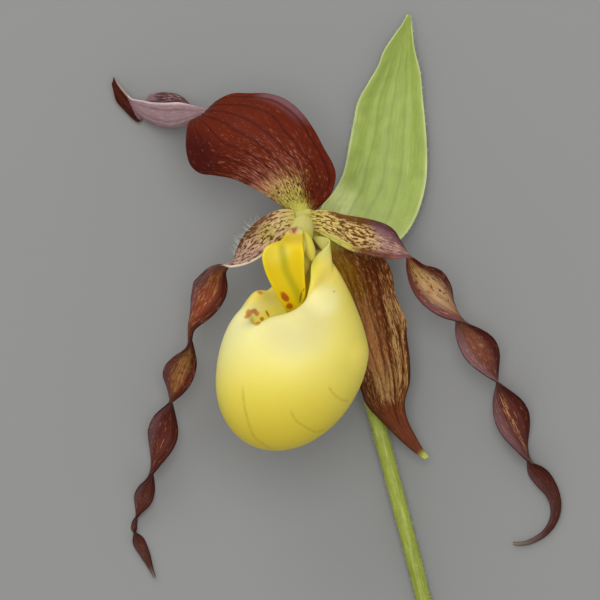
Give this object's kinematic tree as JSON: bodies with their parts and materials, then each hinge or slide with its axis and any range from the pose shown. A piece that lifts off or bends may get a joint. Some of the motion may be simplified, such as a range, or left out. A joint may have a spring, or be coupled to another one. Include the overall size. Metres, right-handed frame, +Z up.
{
  "type": "cypripedium orchid flower",
  "caption": "Yellow slipper orchid flower as picked: inflated pouch, twisted petals, sepals, leafy bract and cut stem, lying on its back.",
  "frame": {"origin": "on the surface that the flower lies on, under the middle of its bounding box", "axes": "+X to the right of the flower as it faces up, +Y along the stem towards the bract's tip, +Z up"},
  "size_m": [0.0904, 0.134, 0.0435],
  "materials": {
    "ovary": "satin, short pale hairs",
    "stem": "satin, short pale hairs",
    "staminode": "waxy satin",
    "column": "waxy satin",
    "lip": "waxy satin",
    "anther": "matt",
    "stigma": "damp satin",
    "petal": "satin, streaked",
    "sepal": "satin, veined",
    "bract": "satin, veined, short pale hairs"
  },
  "bodies": {
    "root": {"ovary": "ovary", "stem": "stem", "staminode": "staminode", "column": "column", "lip": "lip", "anther_left": "anther", "anther_right": "anther", "stigma": "stigma", "petal_left": "petal", "petal_right": "petal", "dorsal_sepal": "sepal", "synsepal": "sepal", "bract": "bract"}
  },
  "joints": []
}
